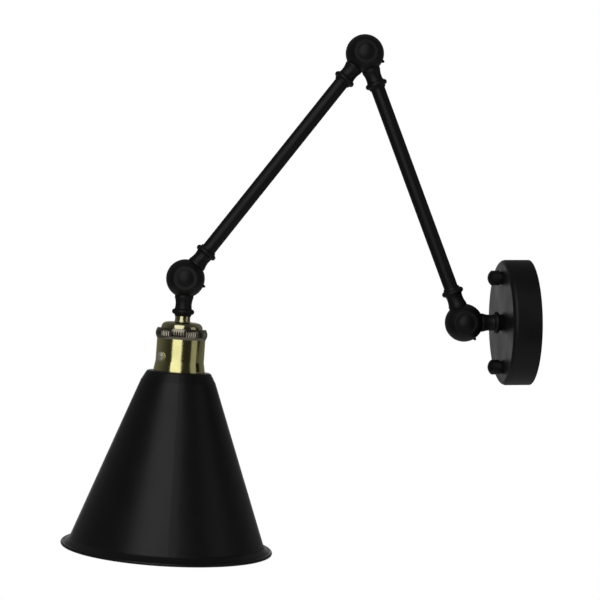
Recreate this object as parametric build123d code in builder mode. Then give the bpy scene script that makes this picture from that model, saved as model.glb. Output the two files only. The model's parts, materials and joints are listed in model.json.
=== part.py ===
from build123d import *
from math import cos, pi, radians, sin, sqrt, tan
import os

# Accordion wall lamp: a round wall canopy, two equal tube arms on three clamped ball knuckles
# that all turn about Y, and a brass lamp holder with a spun steel cone shade.
# Millimetres. The origin is the centre of the canopy's back, on the wall. +X runs into the
# wall, so the lamp stands out towards -X. +Z is up. The near side is -Y.

# Pose: directions in the XZ plane, in degrees from +X towards +Z
lower_arm_angle = 110.4
upper_arm_angle = 231.4
head_angle = 265.9
base_ear_angle = 304.0
elbow_ear_angle = 337.0
head_ear_angle = 337.0

# Fits, all radial unless a gap is named
thread_fit = 0.05
running_fit = 0.05
push_fit = 0.1
loose_fit = 0.3
turning_gap = 0.35

# Wall canopy and the strap behind it
canopy_diameter = 106.0
canopy_depth = 23.5
canopy_wall = 1.2
canopy_edge_radius = 3.8
strap_end_gap = 5.0
strap_width = 20.0
strap_thickness = 2.5
strap_corner_radius = 4.0
cross_arm_inset = 10.0
cross_arm_width = 24.0
wire_hole_radius = 7.5
wall_slot_inset = 14.7
wall_slot_width = 4.5
wall_slot_length = 12.0

# Screws that hold the canopy
stud_edge_inset = 15.3
stud_radius = 2.5
stud_head_land = 0.4
stud_head_angle = 90.0
stud_reach = 8.0
stud_tip_gap = 0.8
stud_hole_clearance = 0.3
stud_nut_across_flats = 8.0
stud_nut_height = 3.2
canopy_nut_radius = 6.3
canopy_nut_crown = 2.4
canopy_nut_dome = 3.2
canopy_nut_step = 1.0
canopy_nut_lip_length = 1.4

# Terminals inside the canopy
block_inset = 13.0
block_length = 21.0
block_width = 17.0
block_height = 12.0
block_corner_radius = 1.5
block_entry_depth = 1.8
block_mains_entry_radius = 1.7
block_mains_entry_depth = 9.0
block_mains_spacing = 8.5
block_entry_height = 6.0
clamp_screw_radius = 1.9
clamp_screw_inset = 4.0
clamp_screw_gap = 2.0
clamp_screw_proud = 0.6
screw_slot_width = 0.7
screw_slot_depth = 0.7
block_screw_radius = 1.5
block_screw_head_radius = 2.8
block_screw_head_height = 2.0
earth_screw_radius = 2.0
earth_screw_head_radius = 4.0
earth_screw_head_height = 2.6
earth_washer_radius = 5.5
earth_washer_thickness = 1.0

# Knuckles: two hollow half balls clamped on a stop ring by a domed screw
ball_radius = 16.1
ball_flat_depth = 3.25
ball_edge_radius = 0.9
ring_thickness = 1.0
ring_inset = 0.55
ear_reach = 2.3
ear_root_width = 4.4
ear_tip_width = 1.3
boss_radius = 5.2
cavity_wall = 4.15
cavity_depth = 5.0
pivot_radius = 3.0
screw_head_rim = 2.9
screw_head_edge = 1.5
screw_head_dome = 1.5
screw_head_recess = 1.1
nut_recess = 4.5
spring_washer_radius = 5.4
spring_washer_thickness = 1.2
spring_washer_split = 1.4
pivot_nut_across_flats = 10.0
pivot_nut_hex_height = 3.0
pivot_nut_dome_height = 2.0
pivot_nut_bore_depth = 3.4
pivot_screw_tip_gap = 0.3
pivot_nut_dome_inset = 0.3

# Necks, measured out from the ball
neck_inner_radius = 8.0
neck_waist_step = 0.75
neck_root_step = 1.0
neck_waist_distance = 4.9
neck_length = 9.2
bead_foot_step = 0.5
bead_height = 2.1
bead_length = 4.6
collar_length = 1.65
collar_step = 0.7
passage_radius = 2.3
passage_offset = 3.1
bore_distance = 3.4
passage_overlap = 2.0

# Arms
pivot_spacing = 241.0
tube_radius = 6.0
tube_wall = 1.0
spigot_length = 12.0
lead_radius = 2.8

# Wall stem, screwed through the canopy front
stem_thread_radius = 5.0
stem_washer_radius = 8.0
stem_washer_thickness = 1.0
stem_nut_across_flats = 14.0
stem_nut_height = 4.2
stem_thread_spare = 0.8
stem_lead_bend = 5.8

# Brass lamp holder, measured down the head axis
cap_neck_wall = 1.35
cap_neck_length = 2.8
cap_wall = 0.9
cap_shoulder_reach = 5.9
cap_shoulder_drop = 1.9
cap_dome_drop = 5.3
cap_dome_bulge = 1.1
cap_dome_step = 1.4
cap_skirt_length = 14.0
head_thread_length = 7.4
clamp_ring_rim = 2.7
clamp_ring_height = 8.9
clamp_ring_crown = 1.3
clamp_ring_knurls = 72
clamp_ring_knurl_slope = 30.0
clamp_ring_knurl_land = 0.3
clamp_ring_knurl_over = 1.1
shell_wall = 1.4
shell_length = 26.9
flare_reach = 1.3
flare_length = 8.4
flare_edge = 1.1
skirt_length = 11.5
skirt_thread_step = 0.2
shell_lip_reach = 1.7
shell_lip_thickness = 0.8
insert_wall = 3.65
insert_floor_thickness = 5.5
insert_flange_height = 3.0
insert_drop = 20.0
lamp_thread_radius = 13.3
lamp_shell_wall = 0.45
lamp_shell_recess = 2.5
lamp_shell_foot_step = 2.3
lamp_shell_floor_hole = 6.5
contact_width = 5.0
contact_foot = 4.0
contact_run = 5.0
contact_thickness = 0.5
contact_rise = 4.0
contact_headroom = 1.0
contact_screw_distance = 9.5
contact_screw_radius = 2.9
contact_screw_height = 2.2
contact_thread_radius = 1.4
contact_thread_length = 3.5
side_screw_radius = 2.0
side_screw_azimuth = 51.0
side_screw_rise = 3.6
side_screw_head_radius = 3.9
side_screw_head_edge = 1.6
side_screw_head_dome = 1.3
side_screw_slot_width = 0.9
side_screw_slot_depth = 1.1

# Cone shade and the ring under it
shade_wall = 0.8
shade_top_margin = 2.0
shade_top_corner = 2.4
shade_shoulder_bend = 6.0
shade_flare_bend = 4.0
shade_shoulder_reach = 4.7
shade_shoulder_drop = 8.3
shade_cone_radius = 80.5
shade_cone_drop = 141.0
shade_lip_reach = 5.9
shade_lip_drop = 5.0
shade_roll_radius = 1.4
shade_ring_rim = 4.4
shade_ring_height = 6.0
shade_ring_notches = 6
shade_ring_notch_radius = 1.5

near = Vector(0, -1, 0)
far = Vector(0, 1, 0)
out_of_wall = Vector(-1, 0, 0)
into_wall = Vector(1, 0, 0)


def direction_at(angle):
    """Unit vector in the XZ plane, at an angle from +X towards +Z."""
    return Vector(cos(radians(angle)), 0, sin(radians(angle)))


def hex_radius(across_flats):
    """Corner radius of a hexagon."""
    return across_flats / sqrt(3)


# Wall side sizes that follow
strap_length = canopy_diameter - 2 * strap_end_gap
cross_arm_length = strap_length - 2 * cross_arm_inset
stud_spacing = canopy_diameter - 2 * stud_edge_inset
wall_slot_spacing = stud_spacing - 2 * wall_slot_inset
stud_head_depth = strap_thickness - stud_head_land
stud_head_radius = stud_radius + stud_head_depth * tan(radians(stud_head_angle / 2))
canopy_nut_bore_depth = stud_reach + stud_tip_gap
canopy_nut_length = canopy_nut_bore_depth + canopy_nut_crown
canopy_nut_lip_radius = canopy_nut_radius - canopy_nut_step
block_distance = cross_arm_length / 2 - block_inset
clamp_screw_spacing = block_length - 2 * clamp_screw_inset
clamp_screw_depth = block_height - block_entry_height - clamp_screw_gap

# Knuckle sizes that follow
ball_width = 2 * (ball_radius - ball_flat_depth)
ball_face_radius = sqrt(ball_radius**2 - (ball_width / 2) ** 2)
ring_outer_radius = ball_radius - ring_inset
cavity_radius = ball_radius - cavity_wall
head_recess_radius = ball_face_radius - screw_head_rim
screw_head_radius = head_recess_radius - loose_fit
neck_waist_radius = tube_radius + neck_waist_step
neck_root_radius = neck_waist_radius + neck_root_step
collar_radius = tube_radius + collar_step
bead_foot_radius = collar_radius + bead_foot_step
bead_radius = bead_foot_radius + bead_height

# Holder and shade sizes that follow, from the bulb's thread outwards
lamp_shell_outer = lamp_thread_radius + lamp_shell_wall
lamp_shell_foot_radius = lamp_thread_radius - lamp_shell_foot_step
lamp_shell_foot_height = contact_rise + contact_headroom
insert_inner_radius = lamp_shell_outer + push_fit
insert_pocket_radius = lamp_shell_foot_radius + lamp_shell_wall + push_fit
insert_radius = insert_inner_radius + insert_wall
cap_radius = insert_radius + loose_fit + cap_wall
cap_neck_radius = stem_thread_radius + thread_fit + cap_neck_wall
cap_shoulder_radius = cap_neck_radius + cap_shoulder_reach
shell_inner_radius = cap_radius + push_fit
shell_radius = shell_inner_radius + shell_wall
clamp_ring_radius = shell_inner_radius + clamp_ring_rim
flare_radius = shell_radius + flare_reach
skirt_thread_radius = shell_radius - skirt_thread_step
shell_lip_radius = shell_inner_radius - shell_lip_reach
side_screw_distance = shell_length - flare_length - side_screw_rise
shade_ring_radius = skirt_thread_radius + shade_ring_rim
shade_top_radius = shade_ring_radius + shade_top_margin
shade_shoulder_radius = shade_top_radius + shade_shoulder_reach
shade_lip_radius = shade_cone_radius + shade_lip_reach

# Stations that follow from the sizes above
neck_root_end = ball_radius
neck_waist_at = ball_radius + neck_waist_distance
bead_start = ball_radius + neck_length
bead_end = bead_start + bead_length
collar_end = bead_end + collar_length
passage_start = (boss_radius + cavity_radius) / 2
bore_start = ball_radius + bore_distance
bore_radius = lead_radius + loose_fit
spigot_radius = tube_radius - tube_wall - thread_fit
pivot_hole_radius = pivot_radius + running_fit
near_seat = ball_width / 2 - screw_head_recess
far_seat = ball_width / 2 - nut_recess
canopy_front = -canopy_depth
canopy_inside = canopy_front + canopy_wall
strap_front = -strap_thickness
stud_heights = (-stud_spacing / 2, stud_spacing / 2)
stem_thread_length = (
    canopy_wall + stem_washer_thickness + stem_nut_height + stem_thread_spare
)

base_pivot = out_of_wall * (canopy_depth + collar_end)
lower_arm = direction_at(lower_arm_angle)
upper_arm = direction_at(upper_arm_angle)
head_way = direction_at(head_angle)
elbow_pivot = base_pivot + lower_arm * pivot_spacing
head_pivot = elbow_pivot + upper_arm * pivot_spacing

# Stations down the head axis
cap_top = collar_end
cap_shoulder_at = cap_top + cap_neck_length + cap_shoulder_drop
cap_edge_at = cap_shoulder_at + cap_dome_drop
cap_bottom = cap_edge_at + cap_skirt_length
clamp_ring_top = cap_edge_at
shell_top = clamp_ring_top + clamp_ring_height
flare_start = shell_top + shell_length - flare_length
shell_shoulder = shell_top + shell_length
shell_bottom = shell_shoulder + skirt_length
insert_top_at = cap_top + insert_drop
insert_seat = shell_bottom - shell_lip_thickness
insert_floor = insert_top_at + insert_floor_thickness
insert_step = insert_floor + lamp_shell_foot_height
lamp_shell_bottom = insert_seat - lamp_shell_recess
shade_top_at = shell_shoulder


def keep(piece, name):
    """Name a finished piece and write it."""
    piece.part.label = name
    export_step(piece.part, f"parts/{name}.step")


def turning_plane(origin, direction, outward):
    """A plane for turned profiles: x runs along direction and y towards outward."""
    return Plane(origin=origin, x_dir=direction, z_dir=direction.cross(outward))


def square_plane(origin, direction, x_way=far):
    """A plane square to direction, which it faces."""
    return Plane(origin=origin, x_dir=x_way, z_dir=direction)


# ------------------------------------------------------------------ wall side


def wall_bracket():
    """Cross-shaped steel strap, flat on the wall."""
    stud_backs = [Plane(origin=(0, 0, z), z_dir=into_wall) for z in stud_heights]
    with BuildPart() as bracket:
        with BuildSketch(Plane.YZ):
            RectangleRounded(strap_width, strap_length, strap_corner_radius)
            RectangleRounded(cross_arm_length, cross_arm_width, strap_corner_radius)
            Circle(wire_hole_radius, mode=Mode.SUBTRACT)
            with GridLocations(0, wall_slot_spacing, 1, 2):
                SlotOverall(wall_slot_length, wall_slot_width, rotation=90, mode=Mode.SUBTRACT)
            with Locations((block_distance, 0)):
                Circle(block_screw_radius + thread_fit, mode=Mode.SUBTRACT)
            with Locations((-block_distance, 0)):
                Circle(earth_screw_radius + thread_fit, mode=Mode.SUBTRACT)
        extrude(amount=-strap_thickness)
        with Locations(*stud_backs):
            CounterSinkHole(
                stud_radius + thread_fit,
                stud_head_radius + thread_fit,
                counter_sink_angle=stud_head_angle,
            )
    keep(bracket, "wall_bracket")


def bracket_studs():
    """Two countersunk studs, flush with the back of the strap."""
    tip = canopy_depth + stud_reach
    with BuildPart() as studs:
        for height in stud_heights:
            back = Vector(0, 0, height)
            with BuildSketch(turning_plane(back, out_of_wall, Vector(0, 0, 1))):
                with BuildLine():
                    Polyline(
                        (0, 0),
                        (0, stud_head_radius),
                        (stud_head_depth, stud_radius),
                        (tip, stud_radius),
                        (tip, 0),
                        close=True,
                    )
                make_face()
            revolve(axis=Axis(back, out_of_wall))
    keep(studs, "bracket_studs")


def stud_lock_nuts():
    """Hexagon nuts that lock the studs to the strap."""
    with BuildPart() as nuts:
        with BuildSketch(Plane.YZ.offset(strap_front)):
            with Locations(*[(0, height) for height in stud_heights]):
                RegularPolygon(hex_radius(stud_nut_across_flats), 6)
                Circle(stud_radius + thread_fit, mode=Mode.SUBTRACT)
        extrude(amount=-stud_nut_height)
    keep(nuts, "stud_lock_nuts")


def canopy():
    """Pressed steel cup with a rounded front edge, open to the wall."""
    with BuildPart() as cup:
        with BuildSketch(Plane.YZ):
            Circle(canopy_diameter / 2)
        extrude(amount=-canopy_depth)
        fillet(cup.edges().group_by(Axis.X)[0], canopy_edge_radius)
        offset(amount=-canopy_wall, openings=cup.faces().sort_by(Axis.X)[-1])
        with BuildSketch(Plane.YZ.offset(canopy_front)):
            Circle(stem_thread_radius + thread_fit)
            with Locations(*[(0, height) for height in stud_heights]):
                Circle(stud_radius + stud_hole_clearance)
        extrude(amount=canopy_wall + canopy_edge_radius, mode=Mode.SUBTRACT)
    keep(cup, "canopy")


def canopy_nuts():
    """Two round cap nuts with a narrower foot on the canopy front."""
    start = canopy_depth
    end = canopy_depth + canopy_nut_length
    foot_end = start + canopy_nut_lip_length
    bore_radius_here = stud_radius + thread_fit
    bore_end = start + canopy_nut_bore_depth
    with BuildPart() as nuts:
        for height in stud_heights:
            back = Vector(0, 0, height)
            with BuildSketch(turning_plane(back, out_of_wall, Vector(0, 0, 1))):
                with BuildLine():
                    Polyline(
                        (end, 0),
                        (bore_end, 0),
                        (bore_end, bore_radius_here),
                        (start, bore_radius_here),
                        (start, canopy_nut_lip_radius),
                        (foot_end, canopy_nut_lip_radius),
                        (foot_end, canopy_nut_radius),
                        (end - canopy_nut_dome, canopy_nut_radius),
                    )
                    TangentArc(
                        (end, 0),
                        (end - canopy_nut_dome, canopy_nut_radius),
                        tangent=(0, 1),
                    )
                make_face()
            revolve(axis=Axis(back, out_of_wall))
    keep(nuts, "canopy_nuts")


def terminal_block():
    """Moulded block on the strap's far arm."""
    top = strap_front - block_height
    entry = strap_front - block_entry_height
    lead_face = Vector(entry, block_distance - block_length / 2, 0)
    mains_face = Vector(entry, block_distance + block_length / 2, 0)
    with BuildPart() as block:
        with BuildSketch(Plane.YZ.offset(strap_front)):
            with Locations((block_distance, 0)):
                RectangleRounded(block_length, block_width, block_corner_radius)
        extrude(amount=-block_height)
        with BuildSketch(square_plane(lead_face, far, into_wall)):
            Circle(bore_radius)
        extrude(amount=block_entry_depth, mode=Mode.SUBTRACT)
        with BuildSketch(square_plane(mains_face, near, into_wall)):
            with GridLocations(0, block_mains_spacing, 1, 2):
                Circle(block_mains_entry_radius)
        extrude(amount=block_mains_entry_depth, mode=Mode.SUBTRACT)
        with BuildSketch(Plane.YZ.offset(top)):
            with Locations((block_distance, 0)):
                with GridLocations(clamp_screw_spacing, block_mains_spacing, 2, 2):
                    Circle(clamp_screw_radius + push_fit)
        extrude(amount=clamp_screw_depth, mode=Mode.SUBTRACT)
        with BuildSketch(Plane.YZ.offset(top)):
            with Locations((block_distance, 0)):
                Circle(block_screw_radius + push_fit)
        extrude(amount=block_height, mode=Mode.SUBTRACT)
    keep(block, "terminal_block")


def clamp_screws():
    """Four slotted clamping screws in the terminal block."""
    top = strap_front - block_height
    with BuildPart() as screws:
        with BuildSketch(Plane.YZ.offset(top + clamp_screw_depth)):
            with Locations((block_distance, 0)):
                with GridLocations(clamp_screw_spacing, block_mains_spacing, 2, 2):
                    Circle(clamp_screw_radius)
        extrude(amount=-(clamp_screw_depth + clamp_screw_proud))
        with BuildSketch(Plane.YZ.offset(top - clamp_screw_proud)):
            with Locations((block_distance, 0)):
                with GridLocations(clamp_screw_spacing, block_mains_spacing, 2, 2):
                    Rectangle(2 * clamp_screw_radius, screw_slot_width)
        extrude(amount=screw_slot_depth, mode=Mode.SUBTRACT)
    keep(screws, "clamp_screws")


def block_screw():
    """Pan-head screw that fixes the terminal block to the strap."""
    top = strap_front - block_height
    with BuildPart() as screw:
        with BuildSketch(Plane.YZ):
            with Locations((block_distance, 0)):
                Circle(block_screw_radius)
        extrude(amount=-(block_height + strap_thickness))
        with BuildSketch(Plane.YZ.offset(top)):
            with Locations((block_distance, 0)):
                Circle(block_screw_head_radius)
        extrude(amount=-block_screw_head_height)
        fillet(screw.edges().group_by(Axis.X)[0], block_screw_head_height / 3)
        with BuildSketch(Plane.YZ.offset(top - block_screw_head_height)):
            with Locations((block_distance, 0)):
                Rectangle(2 * block_screw_head_radius, screw_slot_width)
        extrude(amount=screw_slot_depth, mode=Mode.SUBTRACT)
    keep(screw, "block_screw")


def earth_screw():
    """Earth screw with its cup washer, on the strap's near arm."""
    with BuildPart() as screw:
        with BuildSketch(Plane.YZ):
            with Locations((-block_distance, 0)):
                Circle(earth_screw_radius)
        extrude(amount=-strap_thickness)
        with BuildSketch(Plane.YZ.offset(strap_front)):
            with Locations((-block_distance, 0)):
                Circle(earth_washer_radius)
        extrude(amount=-earth_washer_thickness)
        with BuildSketch(Plane.YZ.offset(strap_front - earth_washer_thickness)):
            with Locations((-block_distance, 0)):
                Circle(earth_screw_head_radius)
        extrude(amount=-earth_screw_head_height)
        fillet(screw.edges().group_by(Axis.X)[0], earth_screw_head_height / 3)
        top = strap_front - earth_washer_thickness - earth_screw_head_height
        with BuildSketch(Plane.YZ.offset(top)):
            with Locations((-block_distance, 0)):
                Rectangle(2 * earth_screw_head_radius, screw_slot_width)
        extrude(amount=screw_slot_depth, mode=Mode.SUBTRACT)
    keep(screw, "earth_screw")


def stem_washer():
    """Plain washer under the stem's nut, inside the canopy."""
    with BuildPart() as washer:
        with BuildSketch(Plane.YZ.offset(canopy_inside)):
            Circle(stem_washer_radius)
            Circle(stem_thread_radius + push_fit, mode=Mode.SUBTRACT)
        extrude(amount=stem_washer_thickness)
    keep(washer, "stem_washer")


def stem_nut():
    """Thin hexagon nut that clamps the stem to the canopy."""
    with BuildPart() as nut:
        with BuildSketch(Plane.YZ.offset(canopy_inside + stem_washer_thickness)):
            RegularPolygon(hex_radius(stem_nut_across_flats), 6)
            Circle(stem_thread_radius + thread_fit, mode=Mode.SUBTRACT)
        extrude(amount=stem_nut_height)
    keep(nut, "stem_nut")


def stem_lead():
    """Lead from the knuckle through the stem, bent over to the terminal block."""
    start = base_pivot + into_wall * (bore_start + loose_fit)
    corner_x = strap_front - block_entry_height
    block_end = block_distance - block_length / 2 + block_entry_depth - loose_fit
    corner = Vector(corner_x, 0, 0)
    end = Vector(corner_x, block_end, 0)
    with BuildPart() as lead:
        with BuildLine() as route:
            FilletPolyline(start, corner, end, radius=stem_lead_bend)
        with BuildSketch(square_plane(start, into_wall)):
            Circle(lead_radius)
        sweep(path=route.line)
    keep(lead, "stem_lead")


# ------------------------------------------------------------------ knuckles


def knuckle_half(name, pivot, direction, side, shank_radius, shank_length):
    """Hollow half ball on one side of the joint, with its neck, bead and threaded shank."""
    recess_depth = screw_head_recess if side == near else nut_recess
    turning = turning_plane(pivot, direction, side)
    square = square_plane(pivot, direction, side)
    mating = Plane(origin=pivot + side * ring_thickness / 2, x_dir=direction, z_dir=side)
    outer_face = Plane(origin=pivot + side * ball_width / 2, x_dir=direction, z_dir=side)
    mating_height = ring_thickness / 2
    face_height = ball_width / 2
    relief_radius = ball_radius + turning_gap
    relief_edge = sqrt(relief_radius**2 - mating_height**2)
    ball_edge = sqrt(ball_radius**2 - mating_height**2)
    shank_end = collar_end + shank_length
    with BuildPart() as half:
        with BuildSketch(turning):
            with BuildLine():
                Polyline(
                    (neck_inner_radius, 0),
                    (neck_inner_radius, neck_root_radius),
                    (neck_root_end, neck_root_radius),
                )
                ThreePointArc(
                    (neck_root_end, neck_root_radius),
                    (neck_waist_at, neck_waist_radius),
                    (bead_start, bead_foot_radius),
                )
                ThreePointArc(
                    (bead_start, bead_foot_radius),
                    ((bead_start + bead_end) / 2, bead_radius),
                    (bead_end, bead_foot_radius),
                )
                Polyline(
                    (bead_end, bead_foot_radius),
                    (collar_end, collar_radius),
                    (collar_end, shank_radius),
                    (shank_end, shank_radius),
                    (shank_end, 0),
                    (neck_inner_radius, 0),
                )
            make_face()
        revolve(axis=Axis(pivot, direction))
        # The neck is scooped out where the ring and the other half turn past it
        with BuildSketch(turning):
            with BuildLine():
                ThreePointArc((0, -relief_radius), (relief_radius, 0), (relief_edge, mating_height))
                Polyline((relief_edge, mating_height), (0, mating_height), (0, -relief_radius))
            make_face()
        revolve(axis=Axis(pivot, side), mode=Mode.SUBTRACT)
        with BuildSketch(turning) as ball:
            with BuildLine():
                RadiusArc((ball_edge, mating_height), (ball_face_radius, face_height), -ball_radius)
                Polyline(
                    (ball_face_radius, face_height),
                    (0, face_height),
                    (0, mating_height),
                    (ball_edge, mating_height),
                )
            make_face()
            fillet(ball.vertices().group_by(Axis.Y)[-1].sort_by(Axis.X)[-1], ball_edge_radius)
        revolve(axis=Axis(pivot, side))
        with BuildSketch(mating):
            Circle(cavity_radius)
            Circle(boss_radius, mode=Mode.SUBTRACT)
        extrude(amount=cavity_depth, mode=Mode.SUBTRACT)
        with Locations(outer_face):
            CounterBoreHole(pivot_hole_radius, head_recess_radius, recess_depth)
        with BuildSketch(square.offset(passage_start)):
            with Locations((passage_offset, 0)):
                Circle(passage_radius)
        extrude(amount=bore_start + passage_overlap - passage_start, mode=Mode.SUBTRACT)
        with BuildSketch(square.offset(bore_start)):
            Circle(bore_radius)
        extrude(amount=shank_end - bore_start, mode=Mode.SUBTRACT)
    keep(half, name)


def stop_ring(name, pivot, ear_angle):
    """Flat ring between the halves, with the pointed ear that a neck stops against."""
    back = Plane(origin=pivot + far * ring_thickness / 2, x_dir=into_wall, z_dir=near)
    with BuildPart() as ring:
        with BuildSketch(back):
            Circle(ring_outer_radius)
            with PolarLocations(ring_outer_radius, 1, start_angle=ear_angle):
                Polygon(
                    (-ring_thickness, -ear_root_width / 2),
                    (ear_reach, -ear_tip_width / 2),
                    (ear_reach, ear_tip_width / 2),
                    (-ring_thickness, ear_root_width / 2),
                    align=None,
                )
            Circle(cavity_radius, mode=Mode.SUBTRACT)
        extrude(amount=ring_thickness)
    keep(ring, name)


def pivot_screw(name, pivot):
    """Domed screw, its head in the near half's recess."""
    head_edge = near_seat + screw_head_edge
    head_top = head_edge + screw_head_dome
    tip = -(far_seat + spring_washer_thickness + pivot_nut_bore_depth - pivot_screw_tip_gap)
    with BuildPart() as screw:
        with BuildSketch(turning_plane(pivot, into_wall, near)):
            with BuildLine():
                TangentArc((0, head_top), (screw_head_radius, head_edge), tangent=(1, 0))
                Polyline(
                    (screw_head_radius, head_edge),
                    (screw_head_radius, near_seat),
                    (pivot_radius, near_seat),
                    (pivot_radius, tip),
                    (0, tip),
                    (0, head_top),
                )
            make_face()
        revolve(axis=Axis(pivot, near))
    keep(screw, name)


def spring_washer(name, pivot):
    """Split spring washer on the far half's seat."""
    seat = Plane(origin=pivot + far * far_seat, x_dir=into_wall, z_dir=far)
    with BuildPart() as washer:
        with BuildSketch(seat):
            Circle(spring_washer_radius)
            Circle(pivot_radius + push_fit, mode=Mode.SUBTRACT)
            with Locations((spring_washer_radius, 0)):
                Rectangle(2 * spring_washer_radius, spring_washer_split, mode=Mode.SUBTRACT)
        extrude(amount=spring_washer_thickness)
    keep(washer, name)


def pivot_nut(name, pivot):
    """Hexagon cap nut on the spring washer."""
    start = far_seat + spring_washer_thickness
    dome_start = start + pivot_nut_hex_height
    dome_radius = pivot_nut_across_flats / 2 - pivot_nut_dome_inset
    dome_top = dome_start + pivot_nut_dome_height
    foot = Plane(origin=pivot + far * start, x_dir=into_wall, z_dir=far)
    with BuildPart() as nut:
        with BuildSketch(foot):
            RegularPolygon(hex_radius(pivot_nut_across_flats), 6)
        extrude(amount=pivot_nut_hex_height)
        with BuildSketch(turning_plane(pivot, into_wall, far)):
            with BuildLine():
                TangentArc((0, dome_top), (dome_radius, dome_start), tangent=(1, 0))
                Polyline((dome_radius, dome_start), (0, dome_start), (0, dome_top))
            make_face()
        revolve(axis=Axis(pivot, far))
        with BuildSketch(foot):
            Circle(pivot_radius + thread_fit)
        extrude(amount=pivot_nut_bore_depth, mode=Mode.SUBTRACT)
    keep(nut, name)


def knuckle_clamp(joint, pivot, ear_angle):
    """Everything that clamps one knuckle."""
    stop_ring(f"{joint}_stop_ring", pivot, ear_angle)
    pivot_screw(f"{joint}_pivot_screw", pivot)
    spring_washer(f"{joint}_spring_washer", pivot)
    pivot_nut(f"{joint}_pivot_nut", pivot)


# ------------------------------------------------------------------ arms


def arm(name, start_joint, end_joint, start, direction, side):
    """A tube between two knuckle halves, and the lead that runs through it."""
    finish = start + direction * pivot_spacing
    ends = ((start_joint, start, direction), (end_joint, finish, direction * -1))
    for joint, pivot, way in ends:
        knuckle_half(f"{name}_{joint}_knuckle", pivot, way, side, spigot_radius, spigot_length)
    with BuildPart() as tube:
        with BuildSketch(square_plane(start + direction * collar_end, direction)):
            Circle(tube_radius)
            Circle(tube_radius - tube_wall, mode=Mode.SUBTRACT)
        extrude(amount=pivot_spacing - 2 * collar_end)
    keep(tube, f"{name}_tube")
    lead_start = bore_start + loose_fit
    with BuildPart() as lead:
        with BuildSketch(square_plane(start + direction * lead_start, direction)):
            Circle(lead_radius)
        extrude(amount=pivot_spacing - 2 * lead_start)
    keep(lead, f"{name}_lead")


# ------------------------------------------------------------------ lamp holder and shade

head_profile = turning_plane(head_pivot, head_way, near)
head_axis = Axis(head_pivot, head_way)
head_side = direction_at(head_angle - 90)
side_screw_turn = radians(side_screw_azimuth)
side_screw_way = near * cos(side_screw_turn) + head_side * sin(side_screw_turn)
side_screw_foot = head_pivot + head_way * (shell_top + side_screw_distance)


def head_plane(distance):
    """A plane square to the head axis, at a distance down it."""
    return square_plane(head_pivot + head_way * distance, head_way, head_side)


def head_lead():
    """Lead from the knuckle down the stem to the insert."""
    start = bore_start + loose_fit
    with BuildPart() as lead:
        with BuildSketch(head_plane(start)):
            Circle(lead_radius)
        extrude(amount=insert_top_at - loose_fit - start)
    keep(lead, "head_lead")


def holder_cap():
    """Spun brass cap: a threaded neck, a domed top and a wider skirt inside the shell."""
    neck_end = cap_top + cap_neck_length
    crown_at = cap_shoulder_at + cap_dome_drop / 2 - cap_dome_bulge
    dome_radius = cap_radius - cap_dome_step
    crown_radius = (cap_shoulder_radius + dome_radius) / 2 + cap_dome_bulge
    inner_radius = cap_radius - cap_wall
    step_under = cap_edge_at + cap_wall
    bore = stem_thread_radius + thread_fit
    bore_end = cap_top + head_thread_length
    with BuildPart() as cap:
        with BuildSketch(head_profile):
            with BuildLine():
                Polyline((cap_top, bore), (cap_top, cap_neck_radius), (neck_end, cap_neck_radius))
                TangentArc(
                    (neck_end, cap_neck_radius),
                    (cap_shoulder_at, cap_shoulder_radius),
                    tangent=(1, 0),
                )
                ThreePointArc(
                    (cap_shoulder_at, cap_shoulder_radius),
                    (crown_at, crown_radius),
                    (cap_edge_at, dome_radius),
                )
                Polyline(
                    (cap_edge_at, dome_radius),
                    (cap_edge_at, cap_radius),
                    (cap_bottom, cap_radius),
                    (cap_bottom, inner_radius),
                    (step_under, inner_radius),
                    (step_under, dome_radius - cap_wall),
                )
                ThreePointArc(
                    (step_under, dome_radius - cap_wall),
                    (crown_at + cap_wall, crown_radius - cap_wall),
                    (cap_shoulder_at + cap_wall, cap_shoulder_radius),
                )
                Polyline(
                    (cap_shoulder_at + cap_wall, cap_shoulder_radius),
                    (bore_end, cap_neck_radius),
                    (bore_end, bore),
                    (cap_top, bore),
                )
            make_face()
        revolve(axis=head_axis)
    keep(cap, "holder_cap")


def clamp_ring():
    """Rounded, knurled brass ring where the cap meets the shell."""
    edge_radius = clamp_ring_radius - clamp_ring_crown
    pitch = 2 * pi * clamp_ring_radius / clamp_ring_knurls
    half_gap = (pitch - clamp_ring_knurl_land) / 2
    knurl_depth = half_gap * tan(radians(clamp_ring_knurl_slope))
    cut_depth = knurl_depth * clamp_ring_knurl_over
    cut_half = half_gap * clamp_ring_knurl_over
    with BuildPart() as ring:
        with BuildSketch(head_profile):
            with BuildLine():
                ThreePointArc(
                    (clamp_ring_top, edge_radius),
                    ((clamp_ring_top + shell_top) / 2, clamp_ring_radius),
                    (shell_top, edge_radius),
                )
                Polyline(
                    (shell_top, edge_radius),
                    (shell_top, shell_inner_radius),
                    (clamp_ring_top, shell_inner_radius),
                    (clamp_ring_top, edge_radius),
                )
            make_face()
        revolve(axis=head_axis)
        with BuildSketch(head_plane(clamp_ring_top)):
            with PolarLocations(clamp_ring_radius - knurl_depth, clamp_ring_knurls):
                Polygon((0, 0), (cut_depth, cut_half), (cut_depth, -cut_half), align=None)
        extrude(amount=clamp_ring_height, mode=Mode.SUBTRACT)
    keep(ring, "clamp_ring")


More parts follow.
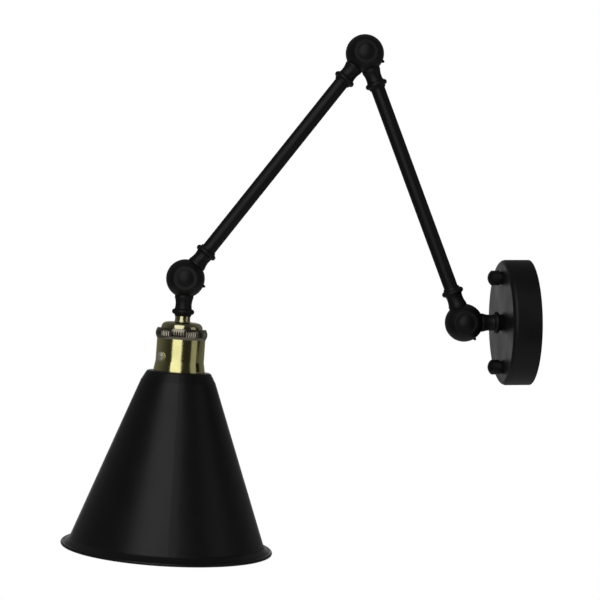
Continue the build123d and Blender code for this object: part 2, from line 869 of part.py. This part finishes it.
def holder_shell():
    """Brass shell with a flared shoulder, a threaded skirt and a lip that holds the insert."""
    with BuildPart() as shell:
        with BuildSketch(head_profile):
            with BuildLine():
                Polyline(
                    (shell_top, shell_inner_radius),
                    (shell_top, shell_radius),
                    (flare_start, shell_radius),
                    (shell_shoulder - flare_edge, flare_radius),
                    (shell_shoulder, flare_radius),
                    (shell_shoulder, skirt_thread_radius),
                    (shell_bottom, skirt_thread_radius),
                    (shell_bottom, shell_lip_radius),
                    (insert_seat, shell_lip_radius),
                    (insert_seat, shell_inner_radius),
                    close=True,
                )
            make_face()
        revolve(axis=head_axis)
        with BuildSketch(square_plane(side_screw_foot, side_screw_way, head_way)):
            Circle(side_screw_radius + thread_fit)
        extrude(amount=shell_radius + side_screw_head_edge, mode=Mode.SUBTRACT)
    keep(shell, "holder_shell")


def side_screw():
    """Domed, slotted screw through the shell that keeps the insert from turning."""
    tip = insert_radius + loose_fit
    head_edge = shell_radius + side_screw_head_edge
    head_top = head_edge + side_screw_head_dome
    with BuildPart() as screw:
        with BuildSketch(turning_plane(side_screw_foot, side_screw_way, head_way)):
            with BuildLine():
                TangentArc((head_top, 0), (head_edge, side_screw_head_radius), tangent=(0, 1))
                Polyline(
                    (head_edge, side_screw_head_radius),
                    (shell_radius, side_screw_head_radius),
                    (shell_radius, side_screw_radius),
                    (tip, side_screw_radius),
                    (tip, 0),
                    (head_top, 0),
                )
            make_face()
        revolve(axis=Axis(side_screw_foot, side_screw_way))
        slot_floor = side_screw_foot + side_screw_way * (head_top - side_screw_slot_depth)
        with BuildSketch(square_plane(slot_floor, side_screw_way, head_way)):
            Rectangle(side_screw_slot_width, 2 * side_screw_head_radius)
        extrude(amount=side_screw_slot_depth, mode=Mode.SUBTRACT)
    keep(screw, "side_screw")


def holder_insert():
    """Porcelain cup that carries the live parts."""
    flange_radius = shell_inner_radius - loose_fit
    flange_top = insert_seat - insert_flange_height
    with BuildPart() as insert:
        with BuildSketch(head_profile):
            with BuildLine():
                Polyline(
                    (insert_top_at, 0),
                    (insert_top_at, insert_radius),
                    (flange_top, insert_radius),
                    (flange_top, flange_radius),
                    (insert_seat, flange_radius),
                    (insert_seat, insert_inner_radius),
                    (insert_step, insert_inner_radius),
                    (insert_step, insert_pocket_radius),
                    (insert_floor, insert_pocket_radius),
                    (insert_floor, 0),
                    close=True,
                )
            make_face()
        revolve(axis=head_axis)
        with BuildSketch(head_plane(insert_top_at)):
            with Locations((0, -contact_screw_distance), (0, contact_screw_distance)):
                Circle(contact_thread_radius + thread_fit)
        extrude(amount=contact_thread_length + loose_fit, mode=Mode.SUBTRACT)
    keep(insert, "holder_insert")


def contact_screws():
    """Two terminal screws on top of the insert."""
    top = insert_top_at - contact_screw_height
    with BuildPart() as screws:
        with BuildSketch(head_plane(top)):
            with Locations((0, -contact_screw_distance), (0, contact_screw_distance)):
                Circle(contact_screw_radius)
        extrude(amount=contact_screw_height)
        with BuildSketch(head_plane(insert_top_at)):
            with Locations((0, -contact_screw_distance), (0, contact_screw_distance)):
                Circle(contact_thread_radius)
        extrude(amount=contact_thread_length)
        with BuildSketch(head_plane(top)):
            with Locations((0, -contact_screw_distance), (0, contact_screw_distance)):
                Rectangle(2 * contact_screw_radius, screw_slot_width)
        extrude(amount=screw_slot_depth, mode=Mode.SUBTRACT)
    keep(screws, "contact_screws")


def lamp_shell():
    """Screw shell for the bulb's cap, on a narrower foot with an open floor."""
    foot_inside = lamp_shell_foot_radius
    foot_outside = foot_inside + lamp_shell_wall
    with BuildPart() as shell:
        with BuildSketch(head_profile):
            with BuildLine():
                Polyline(
                    (insert_floor, lamp_shell_floor_hole),
                    (insert_floor, foot_outside),
                    (insert_step, foot_outside),
                    (insert_step, lamp_shell_outer),
                    (lamp_shell_bottom, lamp_shell_outer),
                    (lamp_shell_bottom, lamp_thread_radius),
                    (insert_step + lamp_shell_wall, lamp_thread_radius),
                    (insert_step + lamp_shell_wall, foot_inside),
                    (insert_floor + lamp_shell_wall, foot_inside),
                    (insert_floor + lamp_shell_wall, lamp_shell_floor_hole),
                    close=True,
                )
            make_face()
        revolve(axis=head_axis)
    keep(shell, "lamp_shell")


def centre_contact():
    """Bent spring strip on the insert's floor."""
    low = insert_floor + contact_thickness / 2
    high = insert_floor + contact_rise
    with BuildPart() as contact:
        with BuildSketch(head_profile):
            with BuildLine():
                Polyline((low, -contact_foot), (low, 0), (high, contact_run))
            trace(line_width=contact_thickness)
        extrude(amount=contact_width / 2, both=True)
    keep(contact, "centre_contact")


def shade():
    """Spun steel cone with a flat top, a shoulder and a flared lip with a rolled edge."""
    shoulder_at = shade_top_at + shade_shoulder_drop
    flare_at = shade_top_at + shade_cone_drop
    lip_at = flare_at + shade_lip_drop
    with BuildPart() as cone:
        with BuildSketch(head_profile):
            with BuildLine():
                FilletPolyline(
                    (shade_top_at, skirt_thread_radius + loose_fit),
                    (shade_top_at, shade_top_radius),
                    (shoulder_at, shade_shoulder_radius),
                    (flare_at, shade_cone_radius),
                    (lip_at, shade_lip_radius),
                    radius=(shade_top_corner, shade_shoulder_bend, shade_flare_bend),
                )
                offset(amount=shade_wall, side=Side.RIGHT)
            make_face()
        revolve(axis=head_axis)
        with BuildSketch(head_profile):
            with Locations((lip_at, shade_lip_radius)):
                Circle(shade_roll_radius)
        revolve(axis=head_axis)
    keep(cone, "shade")


def shade_ring():
    """Moulded ring on the shell's skirt that clamps the shade from inside."""
    with BuildPart() as ring:
        with BuildSketch(head_plane(shade_top_at + shade_wall)):
            Circle(shade_ring_radius)
            Circle(skirt_thread_radius + thread_fit, mode=Mode.SUBTRACT)
            with PolarLocations(shade_ring_radius, shade_ring_notches):
                Circle(shade_ring_notch_radius, mode=Mode.SUBTRACT)
        extrude(amount=shade_ring_height)
    keep(ring, "shade_ring")


os.makedirs("parts", exist_ok=True)
wall_bracket()
bracket_studs()
stud_lock_nuts()
canopy()
canopy_nuts()
terminal_block()
clamp_screws()
block_screw()
earth_screw()
stem_washer()
stem_nut()
stem_lead()
knuckle_half("wall_stem", base_pivot, into_wall, far, stem_thread_radius, stem_thread_length)
knuckle_clamp("base", base_pivot, base_ear_angle)
arm("lower_arm", "base", "elbow", base_pivot, lower_arm, near)
knuckle_clamp("elbow", elbow_pivot, elbow_ear_angle)
arm("upper_arm", "elbow", "head", elbow_pivot, upper_arm, far)
knuckle_clamp("head", head_pivot, head_ear_angle)
knuckle_half("head_stem", head_pivot, head_way, near, stem_thread_radius, head_thread_length)
head_lead()
holder_cap()
clamp_ring()
holder_shell()
side_screw()
holder_insert()
contact_screws()
lamp_shell()
centre_contact()
shade()
shade_ring()
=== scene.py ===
import bmesh
import bpy
import json
from math import cos, pi, radians, sin
from mathutils import Matrix, Vector


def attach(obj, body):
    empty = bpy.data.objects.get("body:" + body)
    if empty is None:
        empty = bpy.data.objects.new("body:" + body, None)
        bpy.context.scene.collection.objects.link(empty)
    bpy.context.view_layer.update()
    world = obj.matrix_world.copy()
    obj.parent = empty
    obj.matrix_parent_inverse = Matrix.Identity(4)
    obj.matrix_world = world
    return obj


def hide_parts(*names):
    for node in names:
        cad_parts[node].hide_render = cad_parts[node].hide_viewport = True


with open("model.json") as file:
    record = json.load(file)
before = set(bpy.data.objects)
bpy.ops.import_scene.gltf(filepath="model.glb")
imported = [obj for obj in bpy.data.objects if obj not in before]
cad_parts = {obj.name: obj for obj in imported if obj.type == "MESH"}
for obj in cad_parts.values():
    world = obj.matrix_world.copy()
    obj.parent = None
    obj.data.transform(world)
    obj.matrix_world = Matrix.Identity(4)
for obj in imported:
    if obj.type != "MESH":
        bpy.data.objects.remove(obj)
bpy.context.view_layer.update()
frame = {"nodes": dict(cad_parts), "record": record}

# ------------------------------------------------------------------ sizes in metres, angles in degrees

# Camera: its place, direction and focal length, in photo pixels, fitted to the photograph's outlines.
# The sensor's width is Blender's own, in millimetres
camera_place = Vector((-0.30705, -1.31819, 0.03619))
camera_yaw = 4.908
camera_pitch = -0.724
camera_roll = -0.073
camera_focal = 1581.52
photo_side = 600
sensor_width = 36.0

# Screw shell for the bulb, rolled from thin brass, with a narrower foot. Its thread's place, radius and
# length are those of the lamp_socket mount, and it fades out over a short stretch at both ends
thread_pitch = 0.003629
thread_depth = 0.0008
thread_fade = 0.0016
thread_step = 0.0003
brass_wall = 0.00045
foot_height = 0.005
foot_narrowing = 0.0023
foot_hole_radius = 0.0065
turn_steps = 96
crease_angle = 40.0

# Textures: scales in cells per metre, depths in metres, and how many times finer than its blotches a
# metal's grain is
paint_cloud_scale = 35.0
metal_grain_ratio = 22
plastic_cloud_scale = 60.0
plastic_grain_scale = 900.0
plastic_grain_depth = 0.00002

# Floor: how bright it is seen directly, and seen in a reflection
floor_height = -1.8
floor_half = 3.0
floor_grey = 0.9
floor_roughness = 0.8
floor_glow = 0.88
floor_mirrored = 0.12

# World: how bright reflections see it, from the camera's side (-1) to straight behind the lamp (1),
# and how bright it is for all light that is neither a reflection nor seen straight
room_levels = ((-1.0, 0.015), (-0.6, 0.02), (0.1, 0.07), (0.85, 0.13), (0.93, 0.16), (1.0, 1.0))
room_fill = 0.12
behind_lamp = (0.0, 1.0, 0.0)

# Lamps aim at this point
object_centre = Vector((-0.2, 0.0, 0.03))

white = (1.0, 1.0, 1.0, 1.0)

# ------------------------------------------------------------------ node helpers


def new_material(name):
    """A node material: returns it, its tree and its surface shader."""
    material = bpy.data.materials.new(name)
    material.use_nodes = True
    tree = material.node_tree
    return material, tree, tree.nodes["Principled BSDF"]


def feed(tree, socket, value):
    """Give a socket a number, or link it to another node's output."""
    if isinstance(value, float):
        socket.default_value = value
    else:
        tree.links.new(value, socket)


def position(tree):
    """Coordinates fixed to the piece, in metres."""
    return tree.nodes.new("ShaderNodeTexCoord").outputs["Object"]


def noise(tree, place, scale, detail, roughness=0.55):
    """Soft blotches or grain, from 0 to 1."""
    node = tree.nodes.new("ShaderNodeTexNoise")
    node.inputs["Scale"].default_value = scale
    node.inputs["Detail"].default_value = detail
    node.inputs["Roughness"].default_value = roughness
    tree.links.new(place, node.inputs["Vector"])
    return node.outputs["Fac"]


def spread(tree, value, low, high, start=0.3, end=0.7):
    """Map a value from start..end to low..high. Most of a noise lies between 0.3 and 0.7."""
    node = tree.nodes.new("ShaderNodeMapRange")
    node.inputs["From Min"].default_value = start
    node.inputs["From Max"].default_value = end
    node.inputs["To Min"].default_value = low
    node.inputs["To Max"].default_value = high
    tree.links.new(value, node.inputs["Value"])
    return node.outputs["Result"]


def mix_colour(tree, factor, first, second):
    """Go from the first colour to the second as the factor goes from 0 to 1."""
    node = tree.nodes.new("ShaderNodeMix")
    node.data_type = "RGBA"
    tree.links.new(factor, node.inputs["Factor"])
    ends = [socket for socket in node.inputs if socket.type == "RGBA"]
    for socket, colour in zip(ends, (first, second)):
        socket.default_value = (*colour, 1.0)
    return [socket for socket in node.outputs if socket.type == "RGBA"][0]


def mix_number(tree, factor, first, second):
    """Go from the first number to the second as the factor goes from 0 to 1."""
    node = tree.nodes.new("ShaderNodeMix")
    node.data_type = "FLOAT"
    tree.links.new(factor, node.inputs["Factor"])
    feed(tree, node.inputs["A"], first)
    feed(tree, node.inputs["B"], second)
    return node.outputs["Result"]


def calculate(tree, operation, *values):
    """The result of a sum. Each value is a number or another node's output."""
    node = tree.nodes.new("ShaderNodeMath")
    node.operation = operation
    for socket, value in zip(node.inputs, values):
        feed(tree, socket, value)
    return node.outputs["Value"]


def ray_kinds(tree):
    """Two flags, 0 or 1: seen straight or through glass, and seen in a reflection."""
    path = tree.nodes.new("ShaderNodeLightPath").outputs
    straight = calculate(tree, "MAXIMUM", path["Is Camera Ray"], path["Is Transmission Ray"])
    return straight, path["Is Glossy Ray"]


def bump(tree, surface, height, distance):
    """Raise and sink the surface's shading by a height from 0 to 1, times a distance."""
    node = tree.nodes.new("ShaderNodeBump")
    node.inputs["Distance"].default_value = distance
    tree.links.new(height, node.inputs["Height"])
    tree.links.new(node.outputs["Normal"], surface.inputs["Normal"])


# ------------------------------------------------------------------ materials

# Each kind of finish mixes a dark and a light tone. roughness is that of the dark tone, then that of
# the light one


def paint(name, dark, light, roughness, grain_scale, grain_depth, specular):
    """Sprayed metal paint: fine orange peel, faint cloudiness and uneven gloss."""
    material, tree, surface = new_material(name)
    place = position(tree)
    cloud = noise(tree, place, paint_cloud_scale, detail=3.0)
    peel = noise(tree, place, grain_scale, detail=2.0)
    tree.links.new(mix_colour(tree, cloud, dark, light), surface.inputs["Base Color"])
    tree.links.new(spread(tree, cloud, *roughness), surface.inputs["Roughness"])
    surface.inputs["Specular IOR Level"].default_value = specular
    bump(tree, surface, peel, grain_depth)
    return material


def metal(name, dark, light, roughness, blotch_scale, grain_depth):
    """Worn or lacquered metal: blotches in colour and gloss, with a fine drawn grain."""
    material, tree, surface = new_material(name)
    place = position(tree)
    blotch = noise(tree, place, blotch_scale, detail=5.0, roughness=0.6)
    grain = noise(tree, place, blotch_scale * metal_grain_ratio, detail=2.0)
    colour = mix_colour(tree, spread(tree, blotch, 0.0, 1.0), dark, light)
    tree.links.new(colour, surface.inputs["Base Color"])
    tree.links.new(spread(tree, blotch, *roughness), surface.inputs["Roughness"])
    surface.inputs["Metallic"].default_value = 1.0
    bump(tree, surface, grain, grain_depth)
    return material


def moulding(name, dark, light, roughness, coat=0.0):
    """Moulded plastic, or with a coat glazed ceramic: cloudy colour over a fine grain."""
    material, tree, surface = new_material(name)
    place = position(tree)
    cloud = noise(tree, place, plastic_cloud_scale, detail=4.0)
    grain = noise(tree, place, plastic_grain_scale, detail=2.0)
    tree.links.new(mix_colour(tree, cloud, dark, light), surface.inputs["Base Color"])
    tree.links.new(spread(tree, cloud, *roughness), surface.inputs["Roughness"])
    surface.inputs["Coat Weight"].default_value = coat
    bump(tree, surface, grain, plastic_grain_depth)
    return material


finishes = {
    # Fine powder coat on canopy, knuckles and tubes
    "black_paint": paint(
        "black_paint",
        dark=(0.006, 0.006, 0.0062),
        light=(0.0095, 0.0095, 0.0098),
        roughness=(0.38, 0.48),
        grain_scale=1500.0,
        grain_depth=0.00003,
        specular=0.3,
    ),
    # Smoother and a little glossier on the shade
    "shade_paint": paint(
        "shade_paint",
        dark=(0.0062, 0.0062, 0.0064),
        light=(0.0085, 0.0085, 0.0088),
        roughness=(0.34, 0.4),
        grain_scale=2200.0,
        grain_depth=0.000012,
        specular=0.36,
    ),
    # Lacquered brass of the holder's shell
    "aged_brass": metal(
        "aged_brass",
        dark=(0.75, 0.71, 0.31),
        light=(0.9, 0.86, 0.41),
        roughness=(0.17, 0.11),
        blotch_scale=70.0,
        grain_depth=0.000004,
    ),
    # The cap's duller brass
    "cap_brass": metal(
        "cap_brass",
        dark=(0.66, 0.62, 0.36),
        light=(0.82, 0.78, 0.47),
        roughness=(0.18, 0.12),
        blotch_scale=80.0,
        grain_depth=0.000004,
    ),
    # The knurled ring, darkened
    "ring_bronze": metal(
        "ring_bronze",
        dark=(0.24, 0.22, 0.17),
        light=(0.37, 0.34, 0.27),
        roughness=(0.2, 0.14),
        blotch_scale=80.0,
        grain_depth=0.000005,
    ),
    # The screw in the side of the shell, its plating gone dull
    "bright_screw": metal(
        "bright_screw",
        dark=(0.8, 0.78, 0.68),
        light=(0.92, 0.9, 0.8),
        roughness=(0.64, 0.52),
        blotch_scale=400.0,
        grain_depth=0.00001,
    ),
    # Screw shell, contacts, contact screws and earth screw
    "contact_brass": metal(
        "contact_brass",
        dark=(0.62, 0.42, 0.15),
        light=(0.8, 0.6, 0.26),
        roughness=(0.28, 0.18),
        blotch_scale=90.0,
        grain_depth=0.000006,
    ),
    # Strap, studs, washers and the nuts and screws that are out of sight
    "zinc_steel": metal(
        "zinc_steel",
        dark=(0.45, 0.46, 0.46),
        light=(0.62, 0.63, 0.61),
        roughness=(0.4, 0.26),
        blotch_scale=110.0,
        grain_depth=0.00001,
    ),
    # The holder's glazed insert
    "porcelain": moulding(
        "porcelain",
        dark=(0.72, 0.7, 0.66),
        light=(0.8, 0.785, 0.75),
        roughness=(0.17, 0.27),
        coat=0.6,
    ),
    # Terminal block
    "block_nylon": moulding(
        "block_nylon",
        dark=(0.6, 0.6, 0.56),
        light=(0.68, 0.68, 0.64),
        roughness=(0.4, 0.5),
    ),
    # Ring under the shade
    "ring_moulding": moulding(
        "ring_moulding",
        dark=(0.012, 0.012, 0.012),
        light=(0.02, 0.02, 0.02),
        roughness=(0.37, 0.47),
    ),
    # Sheath of the lead inside stem, arms and head
    "lead_sheath": moulding(
        "lead_sheath",
        dark=(0.011, 0.011, 0.012),
        light=(0.019, 0.019, 0.02),
        roughness=(0.45, 0.55),
    ),
}

# Nodes whose tone differs from the rest of their slot
toned_nodes = {"holder_cap": "cap_brass", "clamp_ring": "ring_bronze"}

for row in frame["record"]["subparts"]:
    mesh = frame["nodes"][row["node"]].data
    mesh.materials.clear()
    mesh.materials.append(finishes[toned_nodes.get(row["node"], row["material_slot"])])

# ------------------------------------------------------------------ pieces


def turned_mesh(name, origin, axis, outline, pull):
    """A closed outline of (station, radius) turned about an axis.

    pull gives how far a point is drawn in, from its station, its radius and its share of a turn.
    """
    across = Vector((0.0, 1.0, 0.0))
    along = axis.cross(across)
    points, faces = [], []
    count = len(outline)
    for step in range(turn_steps):
        share = step / turn_steps
        spoke = across * cos(2 * pi * share) + along * sin(2 * pi * share)
        for station, radius in outline:
            points.append(origin + axis * station + spoke * (radius - pull(station, radius, share)))
    for step in range(turn_steps):
        first, second = step * count, (step + 1) % turn_steps * count
        for place in range(count):
            after = (place + 1) % count
            faces.append((first + place, first + after, second + after, second + place))
    mesh = bpy.data.meshes.new(name)
    mesh.from_pydata(points, [], faces)
    mesh.update()
    shape = bmesh.new()
    shape.from_mesh(mesh)
    bmesh.ops.recalc_face_normals(shape, faces=shape.faces)
    shape.to_mesh(mesh)
    shape.free()
    mesh.shade_smooth()
    mesh.set_sharp_from_angle(angle=radians(crease_angle))
    piece = bpy.data.objects.new(name, mesh)
    bpy.context.scene.collection.objects.link(piece)
    return piece


def rolled_thread_shell():
    """The bulb's screw shell with its rolled thread, in place of the plain sleeve.

    Stations run from the middle of the thread towards the mouth.
    """
    socket = next(mount for mount in frame["record"]["mounts"] if mount["name"] == "lamp_socket")
    thread_radius = socket["dims"]["r_mm"] / 1000
    mouth = socket["dims"]["length_mm"] / 2000
    thread_start = -mouth
    foot_floor = thread_start - foot_height
    foot_radius = thread_radius - foot_narrowing
    steps = round((mouth - thread_start) / thread_step)
    stations = [thread_start + (mouth - thread_start) * step / steps for step in range(steps + 1)]
    outline = [
        (foot_floor - brass_wall, foot_hole_radius),
        (foot_floor - brass_wall, foot_radius + brass_wall),
        (thread_start - brass_wall, foot_radius + brass_wall),
        (thread_start - brass_wall, thread_radius + brass_wall),
        *((station, thread_radius + brass_wall) for station in stations),
        *((station, thread_radius) for station in reversed(stations)),
        (thread_start, foot_radius),
        (foot_floor, foot_radius),
        (foot_floor, foot_hole_radius),
    ]

    def groove(station, radius, share):
        """One helical groove, none in the foot."""
        if station < thread_start or radius < thread_radius:
            return 0.0
        fade = min(1.0, (station - thread_start) / thread_fade, (mouth - station) / thread_fade)
        wave = 0.5 - 0.5 * cos(2 * pi * ((station - thread_start) / thread_pitch - share))
        return thread_depth * max(fade, 0.0) * wave

    axis = Vector(socket["axis"]).normalized()
    piece = turned_mesh("lamp_shell_thread", Vector(socket["pos_m"]), axis, outline, groove)
    piece.data.materials.append(finishes["contact_brass"])
    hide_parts("lamp_shell")
    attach(piece, "head")


rolled_thread_shell()

# ------------------------------------------------------------------ stage, light and camera


def stage_floor():
    """White seen straight, and dim in reflections."""
    mesh = bpy.data.meshes.new("floor")
    signs = ((-1, -1), (1, -1), (1, 1), (-1, 1))
    corners = [(x * floor_half, y * floor_half, floor_height) for x, y in signs]
    mesh.from_pydata(corners, [], [(0, 1, 2, 3)])
    floor = bpy.data.objects.new("floor", mesh)
    bpy.context.scene.collection.objects.link(floor)
    material, tree, surface = new_material("floor")
    surface.inputs["Base Color"].default_value = (floor_grey, floor_grey, floor_grey, 1.0)
    surface.inputs["Roughness"].default_value = floor_roughness
    straight, reflected = ray_kinds(tree)
    glow = calculate(tree, "MULTIPLY", straight, floor_glow)
    glow = calculate(tree, "MULTIPLY_ADD", reflected, floor_mirrored, glow)
    tree.links.new(glow, surface.inputs["Emission Strength"])
    surface.inputs["Emission Color"].default_value = white
    mesh.materials.append(material)


def stage_world():
    """White seen straight. Reflections see the white backdrop behind the lamp and a dim room."""
    world = bpy.data.worlds.new("world")
    bpy.context.scene.world = world
    world.use_nodes = True
    tree = world.node_tree
    heading = tree.nodes.new("ShaderNodeVectorMath")
    heading.operation = "DOT_PRODUCT"
    heading.inputs[1].default_value = behind_lamp
    direction = tree.nodes.new("ShaderNodeTexCoord").outputs["Generated"]
    tree.links.new(direction, heading.inputs[0])
    room = tree.nodes.new("ShaderNodeValToRGB")
    tree.links.new(spread(tree, heading.outputs["Value"], 0.0, 1.0, -1.0, 1.0), room.inputs["Fac"])
    stops = room.color_ramp.elements
    while len(stops) < len(room_levels):
        stops.new(1.0)
    for stop, (side, level) in zip(stops, room_levels):
        stop.position = (side + 1) / 2
        stop.color = (level, level, level, 1.0)
    straight, reflected = ray_kinds(tree)
    indirect = mix_number(tree, reflected, room_fill, room.outputs["Color"])
    background = tree.nodes["Background"]
    tree.links.new(mix_number(tree, straight, indirect, 1.0), background.inputs["Strength"])
    background.inputs["Color"].default_value = white


def soft_box(name, azimuth, elevation, distance, width, height, radiance):
    """An area lamp aimed at the object. Azimuth is from the camera's side, positive to its right."""
    light = bpy.data.lights.new(name, "AREA")
    light.shape = "RECTANGLE"
    light.size = width
    light.size_y = height
    light.energy = pi * width * height * radiance
    lamp = bpy.data.objects.new(name, light)
    bpy.context.scene.collection.objects.link(lamp)
    turn, rise = radians(azimuth - camera_yaw), radians(elevation)
    heading = Vector((sin(turn) * cos(rise), -cos(turn) * cos(rise), sin(rise)))
    lamp.location = object_centre + heading * distance
    lamp.rotation_euler = heading.to_track_quat("Z", "Y").to_euler()


def stage_camera():
    camera_data = bpy.data.cameras.new("camera")
    camera_data.sensor_width = sensor_width
    camera_data.lens = camera_focal / photo_side * sensor_width
    camera = bpy.data.objects.new("camera", camera_data)
    bpy.context.scene.collection.objects.link(camera)
    yaw, pitch = radians(camera_yaw), radians(camera_pitch)
    forward = Vector((sin(yaw) * cos(pitch), cos(yaw) * cos(pitch), sin(pitch)))
    aim = forward.to_track_quat("-Z", "Y").to_matrix().to_4x4()
    roll = Matrix.Rotation(radians(camera_roll), 4, "Z")
    camera.matrix_world = Matrix.Translation(camera_place) @ aim @ roll
    bpy.context.scene.camera = camera


stage_floor()
stage_world()
soft_box("key", azimuth=-14.0, elevation=24.0, distance=1.75, width=1.6, height=2.6, radiance=1.05)
soft_box("side", azimuth=69.0, elevation=0.0, distance=1.2, width=0.68, height=1.2, radiance=0.25)
stage_camera()
bpy.context.scene.view_settings.view_transform = "Standard"
